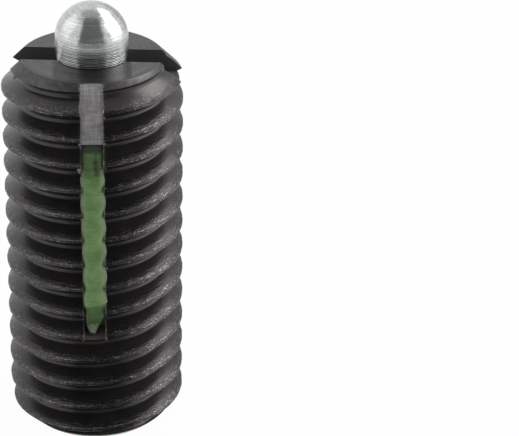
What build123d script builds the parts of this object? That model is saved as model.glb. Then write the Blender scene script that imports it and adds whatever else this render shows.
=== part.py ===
from build123d import *
import math
import os

# Spring plunger, M10 x 1.5 x 22: a fully threaded steel sleeve holds a round-nosed thrust pin that a
# compression spring pushes out of its front face. A closing screw shuts the back end, and a nylon
# strip pressed into the thread keeps the sleeve from working loose.
# Frame: +Z along the sleeve towards the pin's nose, origin at the centre of the sleeve's flat back
# end. The driver slot in the front face runs along X. Millimetres.

# Threaded sleeve
thread_major_dia = 9.9          # M10 external thread, crest to crest, class 6g
thread_pitch = 1.5
thread_start = 0.763            # height of the thread's root above the back face, where it crosses +X
sleeve_length = 22.0
front_rim_dia = 7.72            # flat front face inside its 45 degree chamfer
back_rim_dia = 7.66
slot_width = 1.75
slot_depth = 1.2

# Locking strip and its groove
groove_width = 1.2
groove_azimuth = -86.0          # degrees from +X
groove_floor_radius = 3.9       # from the sleeve's axis to the flat floor of the open groove
pocket_depth = 0.8              # how much deeper the pocket is than the open groove
pocket_to_back = 6.9
pocket_to_front = 3.55
strip_head_gap = 0.35           # pocket left free at the strip's two ends
strip_tail_gap = 0.2
strip_head_length = 1.2         # sunken ends of the strip
strip_tail_length = 2.15
strip_end_sink = 0.8            # how far the sunken ends lie below the crests

# Thrust pin
pin_dia = 4.0
pin_travel = 3.0                # the nose stands out by the travel, with a full radius at its tip
guide_length = 4.5
guide_clearance = 0.03          # radial running clearance of the pin in its guide
collar_thickness = 1.5
collar_clearance = 0.08         # radial, collar in the spring chamber
collar_chamfer = 0.2
pilot_length = 1.0
pilot_clearance = 0.12          # radial, pilot inside the spring

# Spring chamber and spring
chamber_dia = 5.0               # tapping drill of the M6 closing thread
spring_clearance = 0.2          # radial, spring in the chamber
wire_dia = 0.7
active_coils = 6.4
closed_coil_pitch = 0.73        # the end coils lie almost against their neighbours
wire_sides = 6                  # the round wire is drawn with flat sides and short straight runs
runs_per_turn = 12

# Closing screw, drawn at the pitch diameter of its M6 x 1 thread
screw_dia = 5.35
screw_length = 5.0
screw_recess = 0.45             # below the sleeve's back face
screw_chamfer = 0.35
screw_clearance = 0.02          # radial, between the plain stand-ins for the two threads
countersink_dia = 6.2
hex_across_flats = 3.0
hex_depth = 2.6
hex_lead_in = 0.15

# Worked out from the sizes above
thread_radius = thread_major_dia / 2
thread_triangle = thread_pitch * math.sqrt(3) / 2
thread_depth = 17 / 24 * thread_triangle
root_radius = thread_radius - thread_depth
root_flat = thread_pitch / 6
screw_seat = screw_recess + screw_length
shoulder = sleeve_length - guide_length
collar_back = shoulder - collar_thickness
spring_length = collar_back - screw_seat
spring_coil_radius = chamber_dia / 2 - spring_clearance - wire_dia / 2
pocket_back = pocket_to_back
pocket_front = sleeve_length - pocket_to_front
pocket_floor_radius = groove_floor_radius - pocket_depth
groove_plane = Plane(origin=(0, 0, 0), x_dir=Vector(1, 0, 0).rotate(Axis.Z, groove_azimuth),
                     z_dir=Vector(0, -1, 0).rotate(Axis.Z, groove_azimuth))


def turned(profile_points):
    """Solid of revolution about Z from (radius, height) points."""
    with BuildPart() as part:
        with BuildSketch(Plane.XZ):
            with BuildLine():
                Polyline(*profile_points, close=True)
            make_face()
        revolve(axis=Axis.Z)
    return part.part


def groove_bar(side_points):
    """Bar across the groove's width from (radius, height) points in the groove's middle plane."""
    with BuildPart() as part:
        with BuildSketch(groove_plane):
            with BuildLine():
                Polyline(*side_points, close=True)
            make_face()
        extrude(amount=groove_width / 2, both=True)
    return part.part


def thread_groove_turns():
    """One-turn cutters for the 60 degree V with its flat root, stacked past both ends of the sleeve."""
    overrun = thread_pitch / 12
    outer = thread_radius + overrun
    half_mouth = root_flat / 2 + (outer - root_radius) * math.tan(math.radians(30))
    with BuildPart() as turn:
        with BuildLine() as path:
            Helix(pitch=thread_pitch, height=thread_pitch, radius=thread_radius)
        with BuildSketch(Plane.XZ):
            with BuildLine():
                Polyline((outer, -half_mouth), (root_radius, -root_flat / 2),
                         (root_radius, root_flat / 2), (outer, half_mouth), close=True)
            make_face()
        sweep(path=path.wires()[0], is_frenet=True)
    first = thread_start - 2 * thread_pitch
    count = math.ceil((sleeve_length + thread_pitch - first) / thread_pitch)
    return [Pos(0, 0, first + index * thread_pitch) * turn.part for index in range(count)]


def threaded_sleeve():
    front_rim = front_rim_dia / 2
    back_rim = back_rim_dia / 2
    bore = screw_dia / 2
    countersink = countersink_dia / 2
    chamber = chamber_dia / 2
    guide = pin_dia / 2 + guide_clearance
    sleeve = turned([
        (countersink, 0), (back_rim, 0),
        (thread_radius, thread_radius - back_rim),
        (thread_radius, sleeve_length - (thread_radius - front_rim)),
        (front_rim, sleeve_length), (guide, sleeve_length),
        (guide, shoulder), (chamber, shoulder),
        (chamber, screw_seat), (bore, screw_seat),
        (bore, countersink - bore)])
    for turn in thread_groove_turns():
        sleeve -= turn
    sleeve -= Pos(0, 0, sleeve_length) * Box(2 * thread_major_dia, slot_width, 2 * slot_depth)
    open_end = sleeve_length + slot_depth
    sleeve -= groove_bar([
        (pocket_floor_radius, pocket_back), (thread_major_dia, pocket_back),
        (thread_major_dia, open_end), (groove_floor_radius, open_end),
        (groove_floor_radius, pocket_front), (pocket_floor_radius, pocket_front)])
    return sleeve


def locking_strip():
    """Nylon bar that fills the pocket, flush with the crests between its sunken ends."""
    tail = pocket_back + strip_tail_gap
    head = pocket_front - strip_head_gap
    sunk = thread_radius - strip_end_sink
    bar = groove_bar([
        (pocket_floor_radius, tail), (sunk, tail),
        (sunk + strip_end_sink / 2, tail + strip_tail_length),
        (thread_major_dia, tail + strip_tail_length), (thread_major_dia, head - strip_head_length),
        (sunk, head - strip_head_length), (sunk, head), (pocket_floor_radius, head)])
    crest_cylinder = Cylinder(thread_radius, sleeve_length,
                              align=(Align.CENTER, Align.CENTER, Align.MIN))
    return bar & crest_cylinder


def thrust_pin():
    radius = pin_dia / 2
    collar = chamber_dia / 2 - collar_clearance
    pilot = spring_coil_radius - wire_dia / 2 - pilot_clearance
    nose_centre = sleeve_length + pin_travel - radius
    with BuildPart() as part:
        with BuildSketch(Plane.XZ):
            with BuildLine():
                Polyline((radius, nose_centre), (radius, shoulder), (collar - collar_chamfer, shoulder),
                         (collar, shoulder - collar_chamfer), (collar, collar_back),
                         (pilot, collar_back), (pilot, collar_back - pilot_length + collar_chamfer),
                         (pilot - collar_chamfer, collar_back - pilot_length),
                         (0, collar_back - pilot_length), (0, nose_centre + radius))
                RadiusArc((0, nose_centre + radius), (radius, nose_centre), radius)
            make_face()
        revolve(axis=Axis.Z)
    return part.part


def compression_spring():
    """Closed and ground spring: one wire along a helix whose first and last turns are nearly flat."""
    turns = active_coils + 2
    open_pitch = (spring_length - 2 * closed_coil_pitch) / active_coils

    def height(turn):
        from_back = min(turn, 1) * closed_coil_pitch
        middle = min(max(turn - 1, 0), active_coils) * open_pitch
        from_front = max(turn - 1 - active_coils, 0) * closed_coil_pitch
        return screw_seat + from_back + middle + from_front

    count = round(turns * runs_per_turn)
    points = []
    for index in range(count + 1):
        turn = turns * index / count
        angle = 2 * math.pi * turn
        points.append((spring_coil_radius * math.cos(angle), spring_coil_radius * math.sin(angle),
                       height(turn)))
    with BuildPart() as part:
        with BuildLine() as path:
            Polyline(*points)
        with BuildSketch(Plane(origin=path.line @ 0, z_dir=path.line % 0)):
            RegularPolygon(wire_dia / 2, wire_sides)
        sweep(path=path.wires()[0], transition=Transition.RIGHT)
    seats = Pos(0, 0, screw_seat) * Cylinder(chamber_dia / 2, spring_length,
                                             align=(Align.CENTER, Align.CENTER, Align.MIN))
    return part.part & seats


def closing_screw():
    radius = screw_dia / 2 - screw_clearance
    screw = turned([
        (0, screw_recess), (radius - screw_chamfer, screw_recess),
        (radius, screw_recess + screw_chamfer), (radius, screw_seat - screw_chamfer / 2),
        (radius - screw_chamfer / 2, screw_seat), (0, screw_seat)])
    hex_corner = hex_across_flats / math.sqrt(3)
    with BuildPart() as socket:
        with BuildSketch(Plane.XY.offset(screw_recess)):
            RegularPolygon(hex_corner, 6)
        extrude(amount=hex_depth)
    lead_in = turned([(0, screw_recess), (hex_corner, screw_recess),
                      (hex_corner - hex_lead_in, screw_recess + hex_lead_in),
                      (0, screw_recess + hex_lead_in)])
    return screw - socket.part - lead_in


os.makedirs("parts", exist_ok=True)
for node in (threaded_sleeve, thrust_pin, compression_spring, closing_screw, locking_strip):
    export_step(node(), f"parts/{node.__name__}.step")
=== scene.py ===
import math

import bmesh
import bpy
from mathutils import Matrix, Vector, noise


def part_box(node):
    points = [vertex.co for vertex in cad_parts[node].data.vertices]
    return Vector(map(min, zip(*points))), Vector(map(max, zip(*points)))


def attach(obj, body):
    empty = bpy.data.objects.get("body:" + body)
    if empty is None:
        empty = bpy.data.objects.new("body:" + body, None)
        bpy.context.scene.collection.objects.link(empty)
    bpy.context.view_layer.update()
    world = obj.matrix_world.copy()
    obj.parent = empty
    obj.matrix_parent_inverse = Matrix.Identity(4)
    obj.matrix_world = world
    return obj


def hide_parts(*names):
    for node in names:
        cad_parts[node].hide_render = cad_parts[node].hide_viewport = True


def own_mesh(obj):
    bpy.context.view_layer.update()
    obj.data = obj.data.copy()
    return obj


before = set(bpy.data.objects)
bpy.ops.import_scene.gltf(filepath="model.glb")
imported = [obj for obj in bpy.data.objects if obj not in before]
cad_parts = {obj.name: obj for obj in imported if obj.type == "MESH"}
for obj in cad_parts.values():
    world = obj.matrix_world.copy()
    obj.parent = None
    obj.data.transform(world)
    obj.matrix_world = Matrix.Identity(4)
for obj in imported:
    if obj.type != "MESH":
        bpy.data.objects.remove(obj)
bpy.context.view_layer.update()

MM = 0.001

# Sizes in millimetres, as in the CAD model, and read from its nodes where that can be done.
sleeve_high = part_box("threaded_sleeve")[1]
pin_low, pin_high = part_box("thrust_pin")
screw_low, screw_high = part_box("closing_screw")
spring_low, spring_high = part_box("compression_spring")
SLEEVE_LENGTH = sleeve_high[2] / MM
CREST_RADIUS = sleeve_high[0] / MM
PIN_TIP = pin_high[2] / MM
PIN_BACK = pin_low[2] / MM
SCREW_BACK = screw_low[2] / MM
SCREW_SEAT = screw_high[2] / MM
SCREW_RADIUS = screw_high[0] / MM
SPRING_BACK = spring_low[2] / MM
SPRING_FRONT = spring_high[2] / MM
PITCH = 1.5
THREAD_START = 0.763
THREAD_DEPTH = 17 / 24 * PITCH * math.sqrt(3) / 2
FRONT_RIM = 3.86
BACK_RIM = 3.83
SLOT_WIDTH = 1.75
SLOT_DEPTH = 1.2
GROOVE_WIDTH = 1.2
GROOVE_AZIMUTH = math.radians(-86)
GROOVE_OUT = (math.cos(GROOVE_AZIMUTH), math.sin(GROOVE_AZIMUTH))
GROOVE_FLOOR = 3.9
POCKET_FLOOR = 3.1
POCKET_BACK = 6.9
POCKET_FRONT = SLEEVE_LENGTH - 3.55
PIN_RADIUS = 2.0
GUIDE_RADIUS = 2.03
SHOULDER = SLEEVE_LENGTH - 4.5
CHAMBER_RADIUS = 2.5
SCREW_BORE = 2.675
COUNTERSINK = 3.1
HEX_ACROSS_FLATS = 3.0
HEX_DEPTH = 2.6
SPRING_COIL_RADIUS = 1.95
WIRE_RADIUS = 0.35
ACTIVE_COILS = 6.4
CLOSED_COIL_PITCH = 0.73
SPRING_GAP = 0.015  # between the spring's front end and the pin's collar
SPRING_LENGTH = SPRING_FRONT - SPRING_BACK
TOOL_REACH = CREST_RADIUS + 2
BOX_FACES = ((0, 1, 3, 2), (4, 6, 7, 5), (0, 4, 5, 1), (2, 3, 7, 6), (0, 2, 6, 4), (1, 5, 7, 3))


# -------- mesh helpers

def mesh_object(name, vertices, faces):
    """Mesh object from points in millimetres."""
    mesh = bpy.data.meshes.new(name)
    mesh.from_pydata([tuple(c * MM for c in v) for v in vertices], [], faces)
    mesh.validate()
    piece = bpy.data.objects.new(name, mesh)
    bpy.context.scene.collection.objects.link(piece)
    return piece


def polar(radius, angle, height):
    return (radius * math.cos(angle), radius * math.sin(angle), height)


def turned(name, profile, steps, closed=True):
    """Solid of revolution from (radius, height) points; points on the axis become one vertex."""
    vertices, rings, faces = [], [], []
    for radius, height in profile:
        if radius < 1e-6:
            rings.append([len(vertices)] * steps)
            vertices.append((0, 0, height))
            continue
        rings.append([len(vertices) + i for i in range(steps)])
        for i in range(steps):
            vertices.append(polar(radius, 2 * math.pi * i / steps, height))
    pairs = list(zip(rings, rings[1:]))
    if closed:
        pairs.append((rings[-1], rings[0]))
    for low, high in pairs:
        for i in range(steps):
            j = (i + 1) % steps
            corners = [low[i], low[j], high[j], high[i]]
            corners = [c for n, c in enumerate(corners) if c != corners[n - 1]]
            if len(corners) > 2:
                faces.append(corners)
    return mesh_object(name, vertices, faces)


def cut(piece, tool, operation="DIFFERENCE"):
    """Applies one boolean with a tool that is then deleted."""
    modifier = piece.modifiers.new("cut", "BOOLEAN")
    modifier.operation = operation
    modifier.solver = "MANIFOLD"
    modifier.object = tool
    apply_modifiers(piece)
    bpy.data.objects.remove(tool)


def apply_modifiers(piece):
    """Keeps the evaluated mesh as the piece's own."""
    bpy.context.view_layer.update()
    graph = bpy.context.evaluated_depsgraph_get()
    mesh = bpy.data.meshes.new_from_object(piece.evaluated_get(graph))
    piece.modifiers.clear()
    piece.data = mesh


def smooth_by_angle(piece, degrees):
    """Smooth shading with sharp edges where faces meet at more than the angle."""
    work = bmesh.new()
    work.from_mesh(piece.data)
    bmesh.ops.recalc_face_normals(work, faces=work.faces)
    limit = math.radians(degrees)
    for face in work.faces:
        face.smooth = True
    for edge in work.edges:
        edge.smooth = len(edge.link_faces) == 2 and edge.calc_face_angle(0.0) < limit
    work.to_mesh(piece.data)
    work.free()


def tube_faces(start, rings, count):
    """Quads between closed rings of so many points each, with a cap at either end."""
    faces = []
    for a in range(start, start + (rings - 1) * count):
        b = a + 1 if (a - start + 1) % count else a + 1 - count
        faces.append((a, b, b + count, a + count))
    last = start + (rings - 1) * count
    return faces + [tuple(range(start + count - 1, start - 1, -1)), tuple(range(last, last + count))]


def groove_point(radius, side, height):
    """Point from its distance along the groove's middle plane, its offset across it and its height."""
    x, y = GROOVE_OUT
    return (x * radius - y * side, y * radius + x * side, height)


def groove_tool(name, floor, front):
    """Box as wide as the groove, from a floor outwards and from the pocket's back end forwards."""
    half = GROOVE_WIDTH / 2
    vertices = [groove_point(r, s, z) for r in (floor, TOOL_REACH) for s in (-half, half)
                for z in (POCKET_BACK, front)]
    return mesh_object(name, vertices, BOX_FACES)


def slot_tool():
    half = SLOT_WIDTH / 2
    vertices = [(x, y, z) for x in (-TOOL_REACH, TOOL_REACH) for y in (-half, half)
                for z in (SLEEVE_LENGTH - SLOT_DEPTH, SLEEVE_LENGTH + 1)]
    return mesh_object("slot_tool", vertices, BOX_FACES)


# -------- threaded sleeve

THREAD_STEPS = 240
OVERRUN_TURNS = 3
ROOT_ARC_RADIUS = PITCH * math.sqrt(3) / 12
ROOT_ARC_STEPS = 4
FLANK_SHARES = (0.3, 0.6, 0.85, 1)
LIP_OFFSET = 0.058
LIP_FOOT = (0.046, 0.030)  # back from the lip's top, and down from it
LIP_SHOULDER = (0.025, 0.007)
SEAM_DEPTH = 0.035
CREST_ZONE = 0.3  # depth below the crests over which they waver
CREST_WAVER = 0.022
RIM_EASE = 0.03  # how far the rims' edges are broken, with a slight belly
RIM_BELLY = 0.012
RIM_TIP = 0.003
BLANK_STEPS = 192
SMOOTH_ANGLE = 24


def thread_profile():
    """(height, radius) points over one pitch: round root, flanks, and a rolled crest of two lips."""
    centre = CREST_RADIUS - THREAD_DEPTH + ROOT_ARC_RADIUS
    half = []
    for step in range(ROOT_ARC_STEPS + 1):
        angle = math.radians(60) * step / ROOT_ARC_STEPS
        half.append((ROOT_ARC_RADIUS * math.sin(angle), centre - ROOT_ARC_RADIUS * math.cos(angle)))
    foot_z, foot_r = half[-1]
    middle = PITCH / 2
    start_z, start_r = middle - LIP_OFFSET - LIP_FOOT[0], CREST_RADIUS - LIP_FOOT[1]
    for share in FLANK_SHARES:
        half.append((foot_z + (start_z - foot_z) * share, foot_r + (start_r - foot_r) * share))
    half.append((middle - LIP_OFFSET - LIP_SHOULDER[0], CREST_RADIUS - LIP_SHOULDER[1]))
    half.append((middle - LIP_OFFSET, CREST_RADIUS))
    half.append((middle - LIP_OFFSET * 0.5, CREST_RADIUS - SEAM_DEPTH * 0.4))
    full = half + [(middle, CREST_RADIUS - SEAM_DEPTH)] + [(PITCH - z, r) for z, r in reversed(half)]
    return full[:-1]


def thread_rod():
    """Closed helical rod that overruns both ends of the sleeve."""
    profile = thread_profile()
    per_turn = len(profile)
    turns = math.ceil(SLEEVE_LENGTH / PITCH) + 2 * OVERRUN_TURNS - 1
    first = THREAD_START - OVERRUN_TURNS * PITCH
    rows = per_turn * turns
    vertices = []
    for i in range(THREAD_STEPS):
        angle = 2 * math.pi * i / THREAD_STEPS
        for k in range(rows + 1):
            turn, j = divmod(k, per_turn)
            z = first + PITCH * (turn + i / THREAD_STEPS) + profile[j][0]
            radius = profile[j][1]
            waver = CREST_WAVER * max(0.0, (radius - CREST_RADIUS + CREST_ZONE) / CREST_ZONE)
            place = Vector(polar(radius, angle, z))
            radius += waver * (noise.noise(place * 3.2) - 0.35)
            z += waver * noise.noise(place * 2.6 + Vector((7, 3, 1)))
            vertices.append(polar(radius, angle, z))
    stride = rows + 1
    last = (THREAD_STEPS - 1) * stride
    faces = [(a, a + stride, a + stride + 1, a + 1) for start in range(0, last, stride)
             for a in range(start, start + rows)]
    for k in range(rows - per_turn):
        faces.append((last + k, per_turn + k, per_turn + k + 1, last + k + 1))
    bottom = len(vertices)
    vertices += [(0, 0, first - PITCH), (0, 0, first + PITCH * (turns + 1))]
    low = [i * stride for i in range(THREAD_STEPS)] + list(range(per_turn, 0, -1))
    faces += [(bottom, after, corner) for corner, after in zip(low, low[1:] + low[:1])]
    high = ([i * stride + rows for i in range(THREAD_STEPS)]
            + [last + k for k in range(rows - 1, rows - per_turn - 1, -1)])
    faces += [(bottom + 1, corner, after) for corner, after in zip(high, high[1:] + high[:1])]
    return mesh_object("threaded_sleeve_skin", vertices, faces)


def sleeve_blank():
    """Chamfered and bored envelope that the helical rod is cut back to."""
    outer = CREST_RADIUS + 1.0
    belly_out = RIM_EASE * 0.4
    profile = [
        (COUNTERSINK, 0), (BACK_RIM - RIM_EASE, 0), (BACK_RIM + belly_out, belly_out + RIM_BELLY),
        (BACK_RIM + RIM_EASE, RIM_EASE + RIM_TIP), (outer, outer - BACK_RIM),
        (outer, SLEEVE_LENGTH - (outer - FRONT_RIM)),
        (FRONT_RIM + RIM_EASE, SLEEVE_LENGTH - RIM_EASE - RIM_TIP),
        (FRONT_RIM + belly_out, SLEEVE_LENGTH - belly_out - RIM_BELLY),
        (FRONT_RIM - RIM_EASE, SLEEVE_LENGTH),
        (GUIDE_RADIUS + RIM_EASE, SLEEVE_LENGTH), (GUIDE_RADIUS, SLEEVE_LENGTH - RIM_EASE),
        (GUIDE_RADIUS, SHOULDER), (CHAMBER_RADIUS, SHOULDER),
        (CHAMBER_RADIUS, SCREW_SEAT), (SCREW_BORE, SCREW_SEAT),
        (SCREW_BORE, COUNTERSINK - SCREW_BORE)]
    return turned("sleeve_blank", profile, BLANK_STEPS)


def build_sleeve():
    """Threaded rod cut to the bored blank, with its driver slot, open groove and pocket."""
    sleeve = thread_rod()
    cut(sleeve, sleeve_blank(), "INTERSECT")
    cut(sleeve, slot_tool())
    cut(sleeve, groove_tool("groove_tool", GROOVE_FLOOR, SLEEVE_LENGTH + 1))
    cut(sleeve, groove_tool("pocket_tool", POCKET_FLOOR, POCKET_FRONT))
    smooth_by_angle(sleeve, SMOOTH_ANGLE)
    return sleeve


# -------- burrs along the groove

BURR_STEP = 0.02
RIM_RADIUS = 4.6  # radius at which the groove's edges are placed round the thread
BURR_HEIGHT = (0.010, 0.050)  # least, and how much more where the rim is torn
BURR_WIDTH = (0.016, 0.035)
BURR_SWAY = 0.012
RIM_TEARS = ((-1, 0.35), (1, 1.0))  # side of the groove, and how badly it is torn
BURR_NODULES = (  # side, height, radius
    (-1, 17.30, 0.17), (-1, 15.62, 0.10), (1, 17.18, 0.10), (1, 20.05, 0.08), (-1, 18.62, 0.09),
    (1, 18.58, 0.10), (1, 11.05, 0.12), (-1, 14.10, 0.07), (-1, 7.02, 0.07), (1, 7.02, 0.07))


def thread_radius(azimuth, z, profile):
    """Radius of the thread's surface at an azimuth in radians, with the front chamfer."""
    height = (z - THREAD_START - PITCH * azimuth / (2 * math.pi)) % PITCH
    points = profile + [(PITCH, profile[0][1])]
    radius = points[0][1]
    for (z0, r0), (z1, r1) in zip(points, points[1:]):
        if z0 <= height <= z1:
            radius = r0 + (r1 - r0) * (height - z0) / (z1 - z0)
            break
    return min(radius, FRONT_RIM + SLEEVE_LENGTH - z)


def build_burrs():
    """Torn metal left along the groove's two edges where the cutter broke out of the thread."""
    profile = thread_profile()
    vertices, faces = [], []
    for sign, rough in RIM_TEARS:
        edge = sign * GROOVE_WIDTH / 2
        azimuth = GROOVE_AZIMUTH + math.atan2(edge, RIM_RADIUS)
        start = len(vertices)
        count = int((SLEEVE_LENGTH - 0.1 - POCKET_BACK) / BURR_STEP)
        for n in range(count + 1):
            z = POCKET_BACK + 0.03 + n * BURR_STEP
            radius = max(thread_radius(azimuth, z, profile), GROOVE_FLOOR + 0.05)
            surface = math.sqrt(radius ** 2 - edge ** 2)
            torn = rough * max(0.0, noise.noise(Vector((z * 7.0, sign * 3.0, 1.0))) + 0.15)
            high = BURR_HEIGHT[0] + BURR_HEIGHT[1] * torn
            wide = BURR_WIDTH[0] + BURR_WIDTH[1] * torn
            sway = BURR_SWAY * rough * noise.noise(Vector((z * 11.0, sign * 5.0, 2.0)))
            section = ((edge + sign * wide, surface - 0.02), (edge + sway, surface + high),
                       (edge - sign * wide * 0.6, surface + high * 0.3),
                       (edge + sign * 0.002, surface - 0.06))
            vertices += [groove_point(r, s, z) for s, r in section]
        faces += [face[::sign] for face in tube_faces(start, count + 1, len(section))]
    burrs = mesh_object("groove_burrs", vertices, faces)
    work = bmesh.new()
    work.from_mesh(burrs.data)
    for index, (sign, z, size) in enumerate(BURR_NODULES):
        edge = sign * (GROOVE_WIDTH / 2 + size * 0.45)
        azimuth = GROOVE_AZIMUTH + math.atan2(edge, RIM_RADIUS)
        surface = math.sqrt(thread_radius(azimuth, z, profile) ** 2 - edge ** 2)
        made = bmesh.ops.create_icosphere(work, subdivisions=3, radius=size * MM)
        centre = Vector(groove_point(surface - size * 0.25, edge, z)) * MM
        for vertex in made["verts"]:
            lump = 1 + 0.45 * noise.noise(vertex.co / MM * 9.0 + Vector((index, 0, 0)))
            vertex.co = centre + Vector((vertex.co.x * 0.8, vertex.co.y * 0.5, vertex.co.z * 1.3)) * lump
    work.to_mesh(burrs.data)
    work.free()
    smooth_by_angle(burrs, 60)
    return burrs


# -------- thrust pin

PIN_STEPS = 144
WALL_ROWS = 96
NOSE_ROWS = 60
RING_LINE = 22.775  # thin turned groove above the tool rings
RING_LINE_HALF = 0.03
RING_LINE_DEPTH = 0.018
RING_SPACING = 0.092
RING_DEPTH = 0.0056
RINGS_SINK = 0.007
TOP_SINK = 0.002
TOP_TAPER = 0.012
NOSE_STEP = 0.014  # by which the nose starts inside the straight part
COLLAR_RADIUS = 2.42
COLLAR_CHAMFER = 0.2
COLLAR_BACK = SHOULDER - 1.5
PILOT_RADIUS = SPRING_COIL_RADIUS - WIRE_RADIUS - 0.12


def pin_wall(z):
    """Radius of the straight part: tool rings below a thin groove, a plainer and slightly tapered top."""
    wander = noise.noise(Vector((0.3, 0.7, z * 9.0)))
    if z < RING_LINE - RING_LINE_HALF:
        ring = math.sin(2 * math.pi * z / RING_SPACING + 1.5 * wander)
        ring *= 0.75 + 0.5 * noise.noise(Vector((3.1, 0.2, z * 4.0)))
        return PIN_RADIUS - RINGS_SINK + RING_DEPTH * ring
    groove = RING_LINE_DEPTH * max(0.0, 1 - abs(z - RING_LINE) / RING_LINE_HALF)
    taper = TOP_TAPER * max(0.0, (z - RING_LINE) / (PIN_TIP - PIN_RADIUS - RING_LINE))
    return PIN_RADIUS - TOP_SINK - groove - taper + 0.0012 * wander


def build_pin():
    """Turned pin with a full-radius nose, ringed by the tool where it enters the sleeve."""
    nose_centre = PIN_TIP - PIN_RADIUS
    profile = [(0, PIN_BACK), (PILOT_RADIUS - COLLAR_CHAMFER, PIN_BACK),
               (PILOT_RADIUS, PIN_BACK + COLLAR_CHAMFER), (PILOT_RADIUS, COLLAR_BACK),
               (COLLAR_RADIUS, COLLAR_BACK), (COLLAR_RADIUS, SHOULDER - COLLAR_CHAMFER),
               (COLLAR_RADIUS - COLLAR_CHAMFER, SHOULDER), (PIN_RADIUS, SHOULDER),
               (PIN_RADIUS - 0.004, SLEEVE_LENGTH - 0.3)]
    wall_foot = SLEEVE_LENGTH - 0.15
    for row in range(WALL_ROWS + 1):
        z = wall_foot + (nose_centre - wall_foot) * row / WALL_ROWS
        profile.append((pin_wall(z), z))
    for row in range(1, NOSE_ROWS + 1):
        share = row / NOSE_ROWS
        angle = math.pi / 2 * share
        wave = (0.0016 * (1 - share) * noise.noise(Vector((1.3, 2.7, row * 0.9)))
                - NOSE_STEP * max(0.0, 1 - share * 4))
        radius = (PIN_RADIUS + wave) * math.cos(angle)
        profile.append((radius if row < NOSE_ROWS else 0.0, nose_centre + PIN_RADIUS * math.sin(angle)))
    pin = turned("thrust_pin_skin", profile, PIN_STEPS, closed=False)
    smooth_by_angle(pin, 30)
    return pin


# -------- locking strip

STRIP_HEAD = POCKET_FRONT - 0.07
STRIP_TAIL = POCKET_BACK + 0.08
STRIP_ROWS = 330
STRIP_COLUMNS = 20
STRIP_SLANT = 0.20  # rise of the tail's features across the strip, below SLANT_TOP
SLANT_TOP = 10
FULL_FACE = 4.5  # above this distance from the axis the face starts to be full
EDGE_DROP = (0.12, 0.14)  # of a sunken face, and how much more of a full one
VALLEY_SWELL = 0.018
RIPPLE = 0.010
SHOULDER_TOP = 17.10  # where the head starts to sink
RIDGE = 9.20  # where the tail does
DENT_SPAN = (16.5, 18.0)  # dent in the sunken head
DENT_SIDE = 0.20
DENT_WIDTH = 0.13
DENT_DEPTH = 0.14
FACE_POINTS = (  # height, distance of the strip's face from the axis
    (STRIP_HEAD, 3.84), (18.22, 3.98), (18.02, 4.22), (17.75, 4.36), (17.40, 4.46),
    (SHOULDER_TOP, 4.62), (16.80, 4.80), (16.45, 4.93), (16.10, 4.96), (9.60, 4.96), (9.30, 4.99),
    (RIDGE, 4.95), (9.04, 4.74), (8.40, 4.54), (7.60, 4.42), (7.20, 4.34), (STRIP_TAIL, 4.18))
LEFT_POINTS = (  # height, half width
    (STRIP_HEAD, 0.56), (17.95, 0.57), (SHOULDER_TOP, 0.58), (16.75, 0.65), (9.60, 0.57),
    (RIDGE, 0.56), (8.95, 0.54), (8.25, 0.49), (7.87, 0.47), (7.62, 0.44), (7.30, 0.38),
    (STRIP_TAIL, 0.28))
RIGHT_POINTS = (
    (STRIP_HEAD, 0.56), (17.95, 0.57), (SHOULDER_TOP, 0.58), (16.75, 0.64), (9.60, 0.66),
    (RIDGE, 0.68), (8.95, 0.65), (8.62, 0.59), (8.25, 0.52), (7.87, 0.39), (7.62, 0.25),
    (7.30, 0.10), (STRIP_TAIL, 0.01))


def along(points, z):
    """Value at one height from (height, value) points that run downwards, eased between them."""
    if z >= points[0][0]:
        return points[0][1]
    for (z0, v0), (z1, v1) in zip(points, points[1:]):
        if z >= z1:
            share = (z0 - z) / (z0 - z1)
            share = share * share * (3 - 2 * share)
            return v0 + (v1 - v0) * share
    return points[-1][1]


def clamped(value):
    return min(1.0, max(0.0, value))


def strip_section(z):
    """Left and right half widths at one level, and its swelling: 1 in a valley, -1 at a crest."""
    phase = (z - THREAD_START - PITCH * GROOVE_AZIMUTH / (2 * math.pi)) / PITCH
    valley = math.cos(2 * math.pi * phase)
    held = clamped((SHOULDER_TOP - 0.2 - z) / 0.5) * clamped((z - RIDGE + 0.1) / 0.3)
    left_waver = 0.026 * valley + 0.022 * noise.noise(Vector((z * 1.3, 2.0, 0.0)))
    right_waver = 0.048 * valley + 0.028 * noise.noise(Vector((z * 1.3, 7.0, 0.0)))
    left = along(LEFT_POINTS, z) + held * left_waver
    right = along(RIGHT_POINTS, z) + held * right_waver
    return left, right, held * valley


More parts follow.
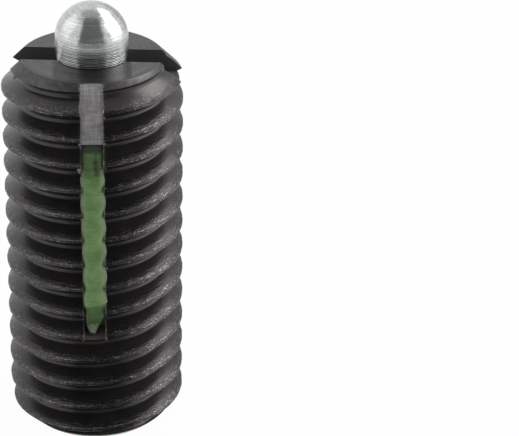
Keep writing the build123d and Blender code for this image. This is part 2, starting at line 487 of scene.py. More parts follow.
def build_strip():
    """Nylon strip: pinched where the crests hold it, bulging into the thread's valleys between them."""
    wall = GROOVE_WIDTH / 2 - 0.01
    seat = POCKET_FLOOR + 0.005
    vertices = []
    for row in range(STRIP_ROWS + 1):
        z = STRIP_TAIL + (STRIP_HEAD - STRIP_TAIL) * row / STRIP_ROWS
        left, right, swell = strip_section(z)
        face = along(FACE_POINTS, z)
        full = clamped((face - FULL_FACE) / 0.4)
        foot = face - 0.35 - 0.35 * full
        ring = [(-min(wall, left), seat), (-min(wall, left), foot)]
        for step in range(STRIP_COLUMNS + 1):
            t = -1 + 2 * step / STRIP_COLUMNS
            side = (left if t < 0 else right) * math.copysign(abs(t) ** 0.8, t)
            slanted = z - STRIP_SLANT * side if z < SLANT_TOP else z
            face = along(FACE_POINTS, slanted) + VALLEY_SWELL * swell
            drop = (EDGE_DROP[0] + EDGE_DROP[1] * full) * abs(t) ** 3.0
            dent = 0.0
            if DENT_SPAN[0] < z < DENT_SPAN[1]:
                dent = DENT_DEPTH * (1 - full) * math.exp(-((side - DENT_SIDE) / DENT_WIDTH) ** 2)
            ripple = RIPPLE * noise.noise(Vector((t * 1.5, z * 6.0, 4.0)))
            ring.append((side, face - drop - dent + ripple))
        ring += [(min(wall, right), foot), (min(wall, right), seat)]
        vertices += [groove_point(r, s, z) for s, r in ring]
    strip = mesh_object("locking_strip_skin", vertices, tube_faces(0, STRIP_ROWS + 1, len(ring)))
    smooth_by_angle(strip, 50)
    return strip


# -------- spring

STEPS_PER_COIL = 48
WIRE_SIDES = 16


def build_spring():
    """Closed and ground compression spring of round wire."""
    turns = ACTIVE_COILS + 2
    open_pitch = (SPRING_LENGTH - 2 * CLOSED_COIL_PITCH) / ACTIVE_COILS
    steps = int(turns * STEPS_PER_COIL)
    vertices = []
    for step in range(steps + 1):
        turn = turns * step / steps
        z = (SPRING_BACK + min(turn, 1) * CLOSED_COIL_PITCH
             + min(max(turn - 1, 0), ACTIVE_COILS) * open_pitch
             + max(turn - 1 - ACTIVE_COILS, 0) * CLOSED_COIL_PITCH)
        angle = 2 * math.pi * turn
        for side in range(WIRE_SIDES):
            around = 2 * math.pi * side / WIRE_SIDES
            radius = SPRING_COIL_RADIUS + WIRE_RADIUS * math.cos(around)
            height = z + WIRE_RADIUS * math.sin(around)
            height = min(max(height, SPRING_BACK), SPRING_FRONT - SPRING_GAP)
            vertices.append(polar(radius, angle, height))
    spring = mesh_object("compression_spring_skin", vertices, tube_faces(0, steps + 1, WIRE_SIDES))
    smooth_by_angle(spring, 40)
    return spring


# -------- closing screw

SCREW_RIM = 2.4
SEAT_CHAMFER = 0.17
SOCKET_CONE = 0.5  # depth of the drilled floor's cone
MOUTH_INSET = 0.12  # how far inside the socket's corners its chamfer starts
MOUTH_CHAMFER = 0.1


def build_screw():
    """Hexagon socket set screw with a chamfered rim, a chamfered socket mouth and a drilled floor."""
    radius = SCREW_RADIUS
    profile = [(0, SCREW_BACK), (SCREW_RIM - 0.02, SCREW_BACK), (SCREW_RIM + 0.01, SCREW_BACK + 0.012),
               (radius, SCREW_BACK + radius - SCREW_RIM), (radius, SCREW_SEAT - SEAT_CHAMFER),
               (radius - SEAT_CHAMFER, SCREW_SEAT), (0, SCREW_SEAT)]
    screw = turned("closing_screw_skin", profile, 128, closed=False)
    corner = HEX_ACROSS_FLATS / math.sqrt(3)
    behind = SCREW_BACK - 1
    socket_profile = [(0, behind), (corner, behind), (corner, SCREW_BACK + HEX_DEPTH - SOCKET_CONE),
                      (0, SCREW_BACK + HEX_DEPTH)]
    cut(screw, turned("socket_tool", socket_profile, 6, closed=False))
    mouth = corner - MOUTH_INSET
    mouth_profile = [(0, behind), (mouth + 1, behind), (mouth, SCREW_BACK),
                     (mouth - MOUTH_CHAMFER, SCREW_BACK + MOUTH_CHAMFER), (0, SCREW_BACK + MOUTH_CHAMFER)]
    cut(screw, turned("mouth_tool", mouth_profile, 96, closed=False))
    smooth_by_angle(screw, SMOOTH_ANGLE)
    return screw


# -------- materials

OXIDE_DARK = (0.036, 0.033, 0.0335)
OXIDE_LIGHT = (0.049, 0.0445, 0.0435)
OXIDE_THIN = (0.082, 0.077, 0.0765)
OXIDE_FLECK = (0.185, 0.178, 0.175)
OXIDE_WORN = (0.165, 0.160, 0.155)
OXIDE_SCRAPED = (0.27, 0.26, 0.245)
CHAMFER_DARK = (0.036, 0.034, 0.034)
CHAMFER_LIGHT = (0.074, 0.069, 0.067)
FACE_ARCS = (0.017, 0.016, 0.0165)
FACE_EDGE = (0.062, 0.058, 0.057)
SLOT_WALL = (0.058, 0.053, 0.056)
# Pocket faces: painted light, a coat lighter than the steel that lifts the deep pocket's shade
POCKET_PAINTED_LIGHT = (0.200, 0.178, 0.162)
GROUND_DARK = (0.310, 0.297, 0.302)
GROUND_LIGHT = (0.470, 0.450, 0.458)
TORN_RIM = (0.30, 0.29, 0.27)
SLEEVE_STRIPE = (0.115, 0.108, 0.104)
SCREW_STRIPE = (0.135, 0.128, 0.124)
SCREW_DARK = (0.044, 0.041, 0.041)
SCREW_LIGHT = (0.066, 0.062, 0.061)
PIN_DARK = (0.44, 0.455, 0.455)
PIN_LIGHT = (0.60, 0.62, 0.615)
# Dark ring lines on the pin: partly the turning marks' own colour, partly painted shade of their facets
PIN_LINES_AND_SHADE = (0.29, 0.30, 0.305)
TORN_DARK = (0.05, 0.048, 0.045)
TORN_LIGHT = (0.36, 0.35, 0.32)
WIRE_DARK = (0.30, 0.30, 0.31)
WIRE_LIGHT = (0.48, 0.48, 0.49)
NYLON_DARK = (0.118, 0.225, 0.070)
NYLON_LIGHT = (0.200, 0.340, 0.130)
# painted shade where the strip's face lies sunk below the crests
NYLON_SUNK_SHADE = (0.058, 0.118, 0.042)
NYLON_SHADE = (0.030, 0.055, 0.020)
NYLON_MARGIN = (0.072, 0.080, 0.055)
NYLON_FLASH = (0.165, 0.190, 0.135)
NYLON_RIDGE = (0.230, 0.400, 0.175)
NYLON_SCUFFED = (0.360, 0.420, 0.310)


class Nodes:
    """Short names for building one material's node tree; places and limits are in millimetres."""

    def __init__(self, name):
        self.material = bpy.data.materials.new(name)
        self.material.use_nodes = True
        self.tree = self.material.node_tree
        self.shader = self.tree.nodes["Principled BSDF"]
        self.coordinates = self.add("ShaderNodeTexCoord").outputs["Object"]
        split = self.add("ShaderNodeSeparateXYZ")
        self.link(self.coordinates, split.inputs[0])
        self.x, self.y, self.z = split.outputs

    def add(self, kind):
        return self.tree.nodes.new(kind)

    def link(self, source, target):
        self.tree.links.new(source, target)

    def put(self, value, socket):
        if isinstance(value, bpy.types.NodeSocket):
            self.link(value, socket)
        else:
            socket.default_value = value

    def set(self, **values):
        """Sets the shader's inputs, named with underscores for spaces."""
        for name, value in values.items():
            self.put(value, self.shader.inputs[name.replace("_", " ")])

    def math(self, operation, first, second=0.0, third=0.0, clamp=False):
        node = self.add("ShaderNodeMath")
        node.operation = operation
        node.use_clamp = clamp
        for value, socket in zip((first, second, third), node.inputs):
            self.put(value, socket)
        return node.outputs[0]

    def chain(self, operation, values):
        result = values[0]
        for value in values[1:]:
            result = self.math(operation, result, value)
        return result

    def times(self, *values):
        return self.chain("MULTIPLY", values)

    def plus(self, *values):
        return self.chain("ADD", values)

    def most(self, *values):
        return self.chain("MAXIMUM", values)

    def minus(self, first, second):
        return self.math("SUBTRACT", first, second)

    def absolute(self, value):
        return self.math("ABSOLUTE", value)

    def apart(self, value, place):
        return self.absolute(self.minus(value, place * MM))

    def above(self, value, limit):
        return self.math("GREATER_THAN", value, limit * MM)

    def below(self, value, limit):
        return self.math("LESS_THAN", value, limit * MM)

    def ramp(self, value, low, high, to_low=0.0, to_high=1.0):
        node = self.add("ShaderNodeMapRange")
        self.put(value, node.inputs["Value"])
        names = ("From Min", "From Max", "To Min", "To Max")
        for name, number in zip(names, (low, high, to_low, to_high)):
            node.inputs[name].default_value = number
        return node.outputs[0]

    def fade(self, value, low, high, to_low=0.0, to_high=1.0):
        """Ramp between two limits in millimetres."""
        return self.ramp(value, low * MM, high * MM, to_low, to_high)

    def window(self, value, rise, fall):
        """1 between two soft edges, each given by its limits for 0 and 1."""
        return self.times(self.fade(value, *rise), self.fade(value, *fall))

    def vector(self, x, y, z):
        node = self.add("ShaderNodeCombineXYZ")
        for value, socket in zip((x, y, z), node.inputs):
            self.put(value, socket)
        return node.outputs[0]

    def noise(self, scale, detail=2.0, rough=0.6, stretch=(1, 1, 1), vector=None):
        """Noise with its scale given per millimetre."""
        mapping = self.add("ShaderNodeMapping")
        mapping.inputs["Scale"].default_value = stretch
        self.link(vector or self.coordinates, mapping.inputs["Vector"])
        node = self.add("ShaderNodeTexNoise")
        node.inputs["Scale"].default_value = scale / MM
        node.inputs["Detail"].default_value = detail
        node.inputs["Roughness"].default_value = rough
        self.link(mapping.outputs[0], node.inputs["Vector"])
        return node.outputs["Fac"]

    def mix(self, share, first, second):
        node = self.add("ShaderNodeMix")
        node.data_type = "RGBA"
        self.put(share, node.inputs[0])
        self.put((*first, 1) if isinstance(first, tuple) else first, node.inputs[6])
        self.put((*second, 1) if isinstance(second, tuple) else second, node.inputs[7])
        return node.outputs[2]

    def layers(self, colour, *coats):
        """Lays (share, colour) coats over a colour, one after another."""
        for share, coat in coats:
            colour = self.mix(share, colour, coat)
        return colour

    def bump(self, height, strength, distance, before=None):
        node = self.add("ShaderNodeBump")
        node.inputs["Strength"].default_value = strength
        node.inputs["Distance"].default_value = distance * MM
        self.put(height, node.inputs["Height"])
        if before is not None:
            self.link(before, node.inputs["Normal"])
        return node.outputs[0]

    def radius(self):
        return self.math("SQRT", self.plus(self.times(self.x, self.x), self.times(self.y, self.y)))


def thread_vector(nodes, radius):
    """Radius, height above the helix and arc length, and that height alone; the seam is at the back."""
    angle = nodes.math("ARCTAN2", nodes.x, nodes.times(nodes.y, -1.0))
    rise = nodes.times(nodes.minus(angle, math.pi / 2), PITCH * MM / (2 * math.pi))
    above_helix = nodes.minus(nodes.z, rise)
    return nodes.vector(radius, above_helix, nodes.times(angle, CREST_RADIUS * MM)), above_helix


def thread_distance(nodes, above_helix):
    """Signed distance along Z from the nearest crest's middle, in metres."""
    offset = nodes.minus(above_helix, (THREAD_START + PITCH / 2) * MM)
    return nodes.math("WRAP", offset, PITCH * MM / 2, -PITCH * MM / 2)


def ring_vector(nodes, radius):
    """Coordinates that change with the radius and the height only, for marks left by turning."""
    return nodes.vector(radius, 0.0, nodes.z)


def groove_place(nodes):
    """Distance from the axis towards the groove, and distance sideways from its middle plane."""
    x, y = GROOVE_OUT
    depth = nodes.plus(nodes.times(nodes.x, x), nodes.times(nodes.y, y))
    side = nodes.minus(nodes.times(nodes.y, x), nodes.times(nodes.x, y))
    return depth, side


STRIPE_AZIMUTH = math.radians(131)
STRIPE_EDGE = (0.43, 0.38)
STRIPE_SHARE = 0.7


def end_stripe(nodes, top):
    """Light line straight across the back end, up to one height."""
    across = nodes.minus(nodes.times(nodes.x, math.sin(STRIPE_AZIMUTH)),
                         nodes.times(nodes.y, math.cos(STRIPE_AZIMUTH)))
    ragged = nodes.times(nodes.noise(4.0, 3.0), 0.05 * MM)
    band = nodes.fade(nodes.plus(nodes.absolute(across), ragged), *STRIPE_EDGE)
    return nodes.times(band, nodes.below(nodes.z, top), STRIPE_SHARE)


GROOVE_SIDE = 3.4  # further towards the groove than this, crests count as beside it
SCRAPED_MIDDLE = -0.95  # where across the groove's plane the crests are scraped
SCRAPED_EDGE = (1.3, 0.7)
UNWORN_MIDDLE = 1.55  # and where the oxide on them is nearly whole
UNWORN_EDGE = (1.8, 0.8)
UNWORN_SHARE = 0.75


def crest_masks(nodes, radius, above_helix, depth, side):
    """The rolled crest's lip, how much of its wear shows, and where its lip is scraped bare."""
    lip = nodes.fade(nodes.apart(thread_distance(nodes, above_helix), LIP_OFFSET), 0.05, 0.01)
    high = nodes.fade(radius, CREST_RADIUS - 0.07, CREST_RADIUS - 0.03)
    outside = nodes.above(depth, GROOVE_SIDE)
    beside = nodes.times(outside, nodes.fade(nodes.apart(side, SCRAPED_MIDDLE), *SCRAPED_EDGE))
    unworn = nodes.times(outside, nodes.fade(nodes.apart(side, UNWORN_MIDDLE), *UNWORN_EDGE))
    scraped = nodes.times(beside, high, nodes.ramp(nodes.noise(7.0), 0.50, 0.60), lip)
    return nodes.times(lip, high), nodes.minus(1.0, nodes.times(unworn, UNWORN_SHARE)), scraped


def groove_masks(nodes, depth, side):
    """Ground floor of the open groove, faces of the pocket, and the rims along both."""
    off_middle = nodes.absolute(side)
    half = GROOVE_WIDTH / 2
    floor = nodes.times(nodes.below(nodes.apart(depth, GROOVE_FLOOR), 0.02),
                        nodes.below(off_middle, half - 0.005), nodes.above(nodes.z, POCKET_FRONT - 0.01))
    in_pocket = nodes.times(nodes.below(depth, GROOVE_FLOOR - 0.03),
                            nodes.above(depth, POCKET_FLOOR - 0.02))
    end_wall = nodes.math("COMPARE", nodes.z, POCKET_BACK * MM, 0.015 * MM)
    pocket = nodes.times(nodes.most(in_pocket, end_wall), nodes.below(off_middle, half + 0.005),
                         nodes.below(nodes.z, POCKET_FRONT + 0.01))
    rim = nodes.times(nodes.fade(nodes.apart(off_middle, half), 0.10, 0.04),
                      nodes.above(depth, GROOVE_FLOOR - 0.03), nodes.above(nodes.z, POCKET_BACK - 0.05))
    return floor, pocket, rim


def front_masks(nodes, radius, off_face):
    """The front chamfer, the edge between it and the front face, and the driver slot."""
    past_chamfer = nodes.above(nodes.plus(radius, nodes.z), SLEEVE_LENGTH + FRONT_RIM - 0.04)
    edge = nodes.times(nodes.above(nodes.z, SLEEVE_LENGTH - 0.05),
                       nodes.fade(nodes.apart(radius, FRONT_RIM), 0.08, 0.03))
    slot = nodes.times(nodes.below(nodes.absolute(nodes.y), SLOT_WIDTH / 2 + 0.01),
                       nodes.above(nodes.z, SLEEVE_LENGTH - SLOT_DEPTH - 0.01), off_face)
    return nodes.times(off_face, past_chamfer), edge, slot


def black_steel():
    """Black oxide that is worn on the crests, with turned, ground and milled faces."""
    nodes = Nodes("black_oxide_steel")
    radius = nodes.radius()
    helix, above_helix = thread_vector(nodes, radius)
    round_marks = ring_vector(nodes, radius)
    depth, side = groove_place(nodes)
    grain = nodes.noise(11.0)
    fine_grain = nodes.noise(26.0)
    streak = nodes.noise(11.0, stretch=(1, 1, 0.16), vector=helix)
    broad = nodes.noise(0.65, 2.0, 0.5)
    rings = nodes.noise(15.0, stretch=(1, 1, 0.25), vector=round_marks)
    arcs = nodes.ramp(nodes.noise(9.0, stretch=(1, 1, 0.25), vector=round_marks), 0.36, 0.62)
    hatch = nodes.plus(nodes.noise(9.0, stretch=(1, 1, 0.12)), nodes.noise(9.0, stretch=(0.12, 0.12, 1)))

    off_face = nodes.below(nodes.z, SLEEVE_LENGTH - 0.02)
    on_face = nodes.minus(1.0, off_face)
    near_crest = nodes.times(off_face, nodes.fade(radius, CREST_RADIUS - 0.50, CREST_RADIUS - 0.10))
    lip, kept, scraped = crest_masks(nodes, radius, above_helix, depth, side)
    floor, pocket, rim = groove_masks(nodes, depth, side)
    chamfer, edge, slot = front_masks(nodes, radius, off_face)
    thin = nodes.times(near_crest, kept, nodes.ramp(grain, 0.42, 0.58))
    fleck = nodes.times(near_crest, nodes.ramp(nodes.plus(grain, streak), 1.08, 1.26))
    patches = nodes.times(nodes.ramp(streak, 0.42, 0.60), nodes.plus(nodes.ramp(broad, 0.40, 0.62), 0.25))
    worn_lip = nodes.times(nodes.math("MULTIPLY", lip, patches, clamp=True), kept)
    burr = nodes.times(rim, nodes.ramp(grain, 0.46, 0.60))

    oxide = nodes.mix(nodes.ramp(broad, 0.35, 0.65), OXIDE_DARK, OXIDE_LIGHT)
    patch = nodes.ramp(nodes.noise(4.2, 3.0, 0.65), 0.36, 0.62)
    turned_patch = nodes.mix(patch, CHAMFER_DARK, CHAMFER_LIGHT)
    ground = nodes.mix(nodes.ramp(hatch, 0.85, 1.15), GROUND_DARK, GROUND_LIGHT)
    # The pocket's faces get painted light here: a coat lighter than the steel that lifts their shade.
    colour = nodes.layers(
        oxide, (thin, OXIDE_THIN), (fleck, OXIDE_FLECK), (worn_lip, OXIDE_WORN), (scraped, OXIDE_SCRAPED),
        (chamfer, turned_patch), (nodes.times(on_face, arcs), FACE_ARCS), (edge, FACE_EDGE),
        (end_stripe(nodes, 1.2), SLEEVE_STRIPE), (pocket, POCKET_PAINTED_LIGHT), (floor, ground), (slot, SLOT_WALL),
        (burr, TORN_RIM))

    plain = nodes.most(floor, pocket, slot)
    bare = nodes.most(fleck, worn_lip, burr, near_crest)
    metal = nodes.times(nodes.ramp(bare, 0.0, 1.0, 0.55, 0.95), nodes.minus(1.0, plain))
    rough = nodes.plus(nodes.ramp(grain, 0.3, 0.7, 0.19, 0.26), nodes.times(near_crest, 0.02))
    rough = nodes.plus(nodes.minus(rough, nodes.times(on_face, 0.06)), nodes.times(chamfer, 0.10))
    turned_marks = nodes.bump(nodes.times(rings, nodes.plus(on_face, 0.15)), 0.8, 0.05)
    relief = nodes.plus(nodes.times(grain, 0.7), nodes.times(streak, 1.2), nodes.times(fine_grain, 0.4))
    pits = nodes.times(relief, nodes.plus(near_crest, 0.12))
    nodes.set(Base_Color=colour, Metallic=metal, Roughness=nodes.most(rough, nodes.times(plain, 0.6)),
              Normal=nodes.bump(pits, 0.9, 0.022, turned_marks))
    return nodes.material


SHINY_TOP = (22.95, 22.75)  # below it the pin is smoother
LINED_NOSE = ((22.62, 22.66), (23.40, 23.05))


def bright_steel():
    """Turned steel: its marks run round the pin, so reflections are drawn out along it."""
    nodes = Nodes("bright_turned_steel")
    vector = ring_vector(nodes, nodes.radius())
    nose_centre = PIN_TIP - PIN_RADIUS
    straight = nodes.fade(nodes.z, nose_centre + 0.05, nose_centre - 0.02)
    ringed = nodes.fade(nodes.z, RING_LINE - 0.02, RING_LINE - 0.06)
    shiny = nodes.fade(nodes.z, *SHINY_TOP)
    fine = nodes.noise(26.0, stretch=(0.2, 1, 1), vector=vector)
    coarse = nodes.noise(9.0, 2.0, 0.5, stretch=(0.2, 1, 1), vector=vector)
    smear = nodes.noise(2.5, 3.0)
    spots = nodes.noise(9.0)
    dashes = nodes.noise(9.0, stretch=(0.35, 0.35, 1.6))
    wide_rings = nodes.noise(15.0, 1.0, 0.5, stretch=(0.0, 1, 1), vector=vector)
    thin_rings = nodes.noise(12.0, 1.0, 0.5, stretch=(0.0, 1, 1), vector=vector)

    streaks = nodes.plus(nodes.times(coarse, 0.6), nodes.times(spots, 0.5), nodes.times(dashes, 0.4))
    bright = nodes.mix(nodes.ramp(streaks, 0.62, 0.88), PIN_DARK, PIN_LIGHT)
    # Dark ring lines below the turned groove and on the upper straight part: turning marks and painted
    # shade of their facets. The thin turned groove itself is darkened as painted shade.
    dark = nodes.most(nodes.times(nodes.minus(1.0, nodes.ramp(wide_rings, 0.32, 0.42)), ringed),
                      nodes.times(nodes.ramp(thin_rings, 0.44, 0.38), nodes.window(nodes.z, *LINED_NOSE)),
                      nodes.fade(nodes.apart(nodes.z, RING_LINE), 0.035, 0.015))
    rough = nodes.plus(nodes.ramp(smear, 0.3, 0.7, 0.15, 0.23), nodes.times(straight, 0.05))
    marks = nodes.plus(nodes.times(fine, 0.6), coarse, nodes.times(dashes, 0.45))
    marks = nodes.times(marks, nodes.ramp(straight, 0.0, 1.0, 0.8, 1.0))
    tangent = nodes.add("ShaderNodeTangent")
    tangent.direction_type = "RADIAL"
    tangent.axis = "Z"
    nodes.set(Base_Color=nodes.mix(dark, bright, PIN_LINES_AND_SHADE), Metallic=1.0,
              Roughness=nodes.minus(rough, nodes.times(shiny, 0.08)), Anisotropic=0.8,
              Anisotropic_Rotation=0.25, Tangent=tangent.outputs[0], Normal=nodes.bump(marks, 0.6, 0.03))
    return nodes.material


SUNK_DEPTH = (4.86, 4.45)
SUNK_SHARE_TO_HEAD = (9.5, 16.5, 0.95, 0.5)
SHADE_ACROSS = ((0.03, 0.11), (0.40, 0.32))
SHADE_ALONG = ((16.86, 17.04), (17.80, 17.60))
HEAD_MARGIN = ((0.45, 0.54), (16.85, 17.15))
TAIL_MARGIN = ((-0.38, -0.46), (9.0, 8.8))
HEAD_END = (18.00, 18.16)
FLASH_EDGE = (0.42, 0.56)
MARK_HEIGHT = 7.62
MARK_MIDDLE = -0.06
ZIGZAG = 0.11


def green_nylon():
    """Polyamide, with painted shade where its face lies sunk below the crests, and a thin greyish flash at
    its edges.
    """
    nodes = Nodes("green_polyamide")
    depth, side = groove_place(nodes)
    off_middle = nodes.absolute(side)
    cloud = nodes.noise(1.5, 3.0, 0.5)
    fine = nodes.noise(9.0, stretch=(0.2, 0.2, 1.6))
    grit = nodes.noise(14.0)
    tone = nodes.plus(nodes.times(cloud, 0.65), nodes.times(fine, 0.35))
    green = nodes.mix(nodes.ramp(tone, 0.40, 0.60), NYLON_DARK, NYLON_LIGHT)

    sunk = nodes.fade(depth, *SUNK_DEPTH)
    # Painted shade on the sunk face, strongest towards the tail.
    sunk_shade = nodes.times(sunk, nodes.fade(nodes.z, *SUNK_SHARE_TO_HEAD))
    shade = nodes.times(nodes.window(side, *SHADE_ACROSS), nodes.window(nodes.z, *SHADE_ALONG))
    head_margin = nodes.times(nodes.fade(off_middle, *HEAD_MARGIN[0]), nodes.fade(nodes.z, *HEAD_MARGIN[1]))
    tail_margin = nodes.times(nodes.fade(side, *TAIL_MARGIN[0]), nodes.fade(nodes.z, *TAIL_MARGIN[1]))
    margin = nodes.most(head_margin, tail_margin, nodes.fade(nodes.z, *HEAD_END))
    flash = nodes.times(nodes.fade(off_middle, *FLASH_EDGE), nodes.ramp(sunk, 1.0, 0.3))
    slanted = nodes.minus(nodes.z, nodes.times(side, STRIP_SLANT))
    ridge = nodes.fade(nodes.apart(slanted, RIDGE + 0.02), 0.07, 0.02)
    zigzag = nodes.math("PINGPONG", side, ZIGZAG * MM)
    mark = nodes.times(nodes.fade(nodes.apart(nodes.minus(nodes.z, zigzag), MARK_HEIGHT), 0.035, 0.01),
                       nodes.fade(nodes.apart(side, MARK_MIDDLE), 0.26, 0.20))
    scuffed = nodes.times(nodes.fade(nodes.z, MARK_HEIGHT, MARK_HEIGHT - 0.10),
                          nodes.ramp(grit, 0.44, 0.56), 0.85)
    green = nodes.layers(
        green, (sunk_shade, NYLON_SUNK_SHADE), (nodes.times(shade, 0.65), NYLON_SHADE),
        (nodes.times(margin, 0.92), NYLON_MARGIN), (nodes.times(flash, 0.75), NYLON_FLASH),
        (nodes.times(ridge, 0.6), NYLON_RIDGE), (nodes.most(mark, scuffed), NYLON_SCUFFED))
    relief = nodes.plus(fine, nodes.times(grit, 0.4))
    nodes.set(Base_Color=green, Roughness=nodes.ramp(cloud, 0.3, 0.7, 0.36, 0.5),
              Normal=nodes.bump(relief, 0.35, 0.03), Subsurface_Weight=0.2, Subsurface_Scale=0.3 * MM,
              Subsurface_Radius=(0.4, 1.0, 0.35))
    return nodes.material


def torn_steel():
    nodes = Nodes("torn_bright_steel")
    grain = nodes.noise(15.0)
    colour = nodes.mix(nodes.ramp(grain, 0.42, 0.60), TORN_DARK, TORN_LIGHT)
    nodes.set(Base_Color=colour, Metallic=0.6, Roughness=0.42, Normal=nodes.bump(grain, 0.5, 0.03))
    return nodes.material


def spring_wire():
    nodes = Nodes("drawn_spring_wire")
    streak = nodes.noise(4.0, 3.0, 0.5, stretch=(1, 1, 5))
    nodes.set(Base_Color=nodes.mix(streak, WIRE_DARK, WIRE_LIGHT), Metallic=1.0,
              Roughness=nodes.ramp(streak, 0.3, 0.7, 0.25, 0.4), Normal=nodes.bump(streak, 0.2, 0.02))
    return nodes.material


def socket_steel():
    nodes = Nodes("socket_screw_steel")
    grain = nodes.noise(8.0, 3.0)
    colour = nodes.layers(nodes.mix(nodes.ramp(grain, 0.3, 0.7), SCREW_DARK, SCREW_LIGHT),
                          (end_stripe(nodes, 0.9), SCREW_STRIPE))
    nodes.set(Base_Color=colour, Metallic=0.75, Roughness=nodes.ramp(grain, 0.3, 0.7, 0.30, 0.42),
              Normal=nodes.bump(grain, 0.3, 0.02))
    return nodes.material


# -------- stage

CAMERA_PLACE = (9.2601, -107.5203, 67.2885)
CAMERA_RIGHT = (0.99972533, 0.01066786, 0.02086757)
CAMERA_BACK = (0.0, -0.89039641, 0.45518593)
FOCAL_PIXELS = 2152.96
IMAGE_WIDTH = 519
SENSOR_WIDTH = 36.0
WORLD_LIGHT = 0.44
FLOOR_SIZE = 600
FLOOR_GREY = (0.88, 0.88, 0.88, 1)
FLOOR_GLOW = 0.97
FLAG_AZIMUTH = math.radians(-85)
FLAG_RADIUS = 60
FLAG_MIDDLE = 20  # height of the canopy's centre of curvature
FLAG_START = -0.22  # lift of the skirt's foot and of the canopy's top, in radians
FLAG_END = math.radians(84)
FLAG_LOW_WIDTH = 62
FLAG_TOP_WIDTH = 20
FLAG_COLUMNS = 24
FLAG_ROWS = 20
SKIRT_ROWS = 6
SKIRT_GREY = 0.205
CANOPY_GREY = 0.28
# Painted shadow of the canopy and of the sleeve's foot on the floor, seen only in reflections
FLOOR_SHADOW_EDGES = ((3.95, 90), (5.6, 70), (6.2, 30), (20, 32), (42, 50))  # radius, half angle in degrees
FLOOR_SHADOW_HEIGHT = 0.05
FLOOR_SHADOW_GREY = 0.06
GLOWING_CARDS = (
    ("ceiling", ((-30, -12, 84), (30, -12, 84), (30, 26, 84), (-30, 26, 84)), 0.55),
    # Painted pool of light: a glowing sheet on the floor to the right, standing for the floor lit by the
    # right softbox, seen only in reflections
    ("right_floor_glow", ((18, -10, 0.2), (60, -30, 0.2), (60, 50, 0.2), (14, 16, 0.2)), 1.2),
    ("right_flag", ((52, 62, -4), (10, 90, -4), (10, 90, 60), (46, 55, 48)), 0.66))
SOFTBOX_AIM = Vector((0, 0, 14)) * MM
SOFTBOX_DISTANCE = 150
SOFTBOXES = (  # name, azimuth, elevation, width, height, radiance
    ("right_softbox", 38, 53, 70, 64, 4.8),
    ("right_panel", 5, 28, 125, 140, 1.8),
    ("left_panel", 178, 30, 120, 130, 0.55))


def place_camera():
    data = bpy.data.cameras.new("camera")
    data.sensor_width = SENSOR_WIDTH
    data.sensor_fit = "HORIZONTAL"
    data.lens = FOCAL_PIXELS * SENSOR_WIDTH / IMAGE_WIDTH
    data.clip_start = 5 * MM
    camera = bpy.data.objects.new("camera", data)
    bpy.context.scene.collection.objects.link(camera)
    back = Vector(CAMERA_BACK).normalized()
    right = Vector(CAMERA_RIGHT)
    right = (right - back * right.dot(back)).normalized()
    up = back.cross(right)
    turn = Matrix((right, up, back)).transposed().to_4x4()
    camera.matrix_world = Matrix.Translation(Vector(CAMERA_PLACE) * MM) @ turn
    bpy.context.scene.camera = camera


def studio_card(name, vertices, faces, grey=0.0, glow=0.0):
    """Card that only reflections see: matt grey, or black with a white glow."""
    card = mesh_object(name, vertices, faces)
    nodes = Nodes(name + "_sheet")
    nodes.set(Base_Color=(grey, grey, grey, 1), Roughness=1.0, Specular_IOR_Level=0.0,
              Emission_Color=(1, 1, 1, 1), Emission_Strength=glow)
    card.data.materials.append(nodes.material)
    card.visible_camera = False
    card.visible_diffuse = False
    card.visible_shadow = False
    card.visible_transmission = False


def grid_faces(columns, rows):
    """Squares between rows of points, each with one point more than it has columns."""
    starts = [row * (columns + 1) + step for row in range(rows) for step in range(columns)]
    return [(a, a + 1, a + columns + 2, a + columns + 1) for a in starts]


def front_canopy():
    """Dark opening between the softboxes: a canopy on the camera's side, with a darker skirt."""
    out = Vector((math.cos(FLAG_AZIMUTH), math.sin(FLAG_AZIMUTH), 0))
    aside = Vector((-math.sin(FLAG_AZIMUTH), math.cos(FLAG_AZIMUTH), 0))
    vertices = []
    for row in range(FLAG_ROWS + 1):
        share = row / FLAG_ROWS
        lift = FLAG_START + (FLAG_END - FLAG_START) * share
        half = FLAG_LOW_WIDTH + (FLAG_TOP_WIDTH - FLAG_LOW_WIDTH) * share
        for step in range(FLAG_COLUMNS + 1):
            place = (out * math.cos(lift) * FLAG_RADIUS + aside * half * (2 * step / FLAG_COLUMNS - 1)
                     + Vector((0, 0, FLAG_MIDDLE + math.sin(lift) * FLAG_RADIUS)))
            vertices.append(tuple(place))
    split = SKIRT_ROWS * (FLAG_COLUMNS + 1)
    skirt = vertices[:split + FLAG_COLUMNS + 1]
    studio_card("front_skirt", skirt, grid_faces(FLAG_COLUMNS, SKIRT_ROWS), grey=SKIRT_GREY)
    studio_card("front_canopy", vertices[split:], grid_faces(FLAG_COLUMNS, FLAG_ROWS - SKIRT_ROWS),
                grey=CANOPY_GREY)


def front_floor_shadow():
    """Painted shadow: a dark sheet on the floor under the canopy and round the front of the sleeve's foot,
    that only reflections see.
    """
    vertices = []
    for reach, half in FLOOR_SHADOW_EDGES:
        for step in range(FLAG_COLUMNS + 1):
            angle = FLAG_AZIMUTH + math.radians(half) * (2 * step / FLAG_COLUMNS - 1)
            vertices.append(polar(reach, angle, FLOOR_SHADOW_HEIGHT))
    studio_card("front_floor_shadow", vertices, grid_faces(FLAG_COLUMNS, len(FLOOR_SHADOW_EDGES) - 1), grey=FLOOR_SHADOW_GREY)


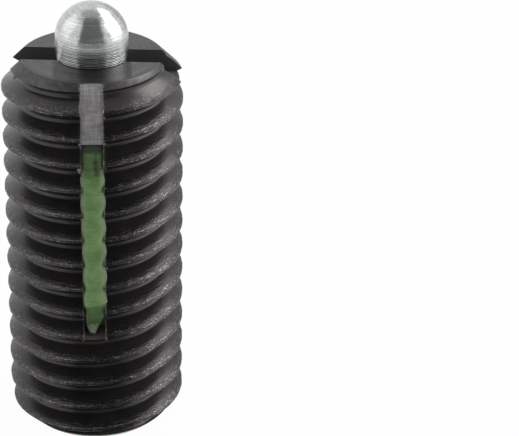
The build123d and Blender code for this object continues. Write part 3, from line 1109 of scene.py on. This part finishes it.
def seen_directly(tree):
    """1 for camera, glossy and transmission rays, which see the pale background as it is."""
    path = tree.nodes.new("ShaderNodeLightPath")
    value = path.outputs["Is Camera Ray"]
    for other in ("Is Glossy Ray", "Is Transmission Ray"):
        largest = tree.nodes.new("ShaderNodeMath")
        largest.operation = "MAXIMUM"
        tree.links.new(value, largest.inputs[0])
        tree.links.new(path.outputs[other], largest.inputs[1])
        value = largest.outputs[0]
    return value


def build_floor():
    corners = [(-1, -1), (1, -1), (1, 1), (-1, 1)]
    floor = mesh_object("floor", [(x * FLOOR_SIZE, y * FLOOR_SIZE, 0) for x, y in corners], [(0, 1, 2, 3)])
    nodes = Nodes("pale_floor")
    nodes.set(Base_Color=FLOOR_GREY, Roughness=0.9, Specular_IOR_Level=0.1)
    glow = nodes.add("ShaderNodeEmission")
    glow.inputs["Color"].default_value = (1, 1, 1, 1)
    blend = nodes.add("ShaderNodeMixShader")
    nodes.link(nodes.times(seen_directly(nodes.tree), FLOOR_GLOW), blend.inputs[0])
    nodes.link(nodes.shader.outputs[0], blend.inputs[1])
    nodes.link(glow.outputs[0], blend.inputs[2])
    nodes.link(blend.outputs[0], nodes.tree.nodes["Material Output"].inputs["Surface"])
    floor.data.materials.append(nodes.material)


def build_world():
    world = bpy.data.worlds.new("studio")
    bpy.context.scene.world = world
    world.use_nodes = True
    tree = world.node_tree
    background = tree.nodes["Background"]
    background.inputs["Color"].default_value = (1, 1, 1, 1)
    strength = tree.nodes.new("ShaderNodeMapRange")
    strength.inputs["To Min"].default_value = WORLD_LIGHT
    strength.inputs["To Max"].default_value = 1.0
    tree.links.new(seen_directly(tree), strength.inputs["Value"])
    tree.links.new(strength.outputs[0], background.inputs["Strength"])


def softbox(name, azimuth, elevation, width, height, radiance):
    """Soft rectangular lamp aimed at the middle of the part."""
    data = bpy.data.lights.new(name, "AREA")
    data.shape = "RECTANGLE"
    data.size = width * MM
    data.size_y = height * MM
    data.energy = radiance * math.pi * data.size * data.size_y
    lamp = bpy.data.objects.new(name, data)
    a, e = math.radians(azimuth), math.radians(elevation)
    away = Vector((math.cos(a) * math.cos(e), math.sin(a) * math.cos(e), math.sin(e)))
    lamp.location = SOFTBOX_AIM + away * SOFTBOX_DISTANCE * MM
    lamp.rotation_euler = (-away).to_track_quat("-Z", "Y").to_euler()
    bpy.context.scene.collection.objects.link(lamp)


def build_stage():
    build_floor()
    build_world()
    front_canopy()
    front_floor_shadow()
    for name, corners, glow in GLOWING_CARDS:
        studio_card(name, corners, [(0, 1, 2, 3)], glow=glow)
    for lamp in SOFTBOXES:
        softbox(*lamp)


# -------- assembly

def dress(piece, material, body, node=None):
    """Gives a piece its material, slot and body, and the CAD node that it stands in for."""
    piece.data.materials.clear()
    piece.data.materials.append(material)
    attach(piece, body)
    if node:
        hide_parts(node)


place_camera()
build_stage()
dress(build_sleeve(), black_steel(), "housing", "threaded_sleeve")
dress(build_pin(), bright_steel(), "pin", "thrust_pin")
dress(build_strip(), green_nylon(), "housing", "locking_strip")
dress(build_burrs(), torn_steel(), "housing")
dress(build_screw(), socket_steel(), "housing", "closing_screw")
spring = build_spring()
dress(spring, spring_wire(), "housing", "compression_spring")
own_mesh(spring)

bpy.context.scene.view_settings.view_transform = "Standard"
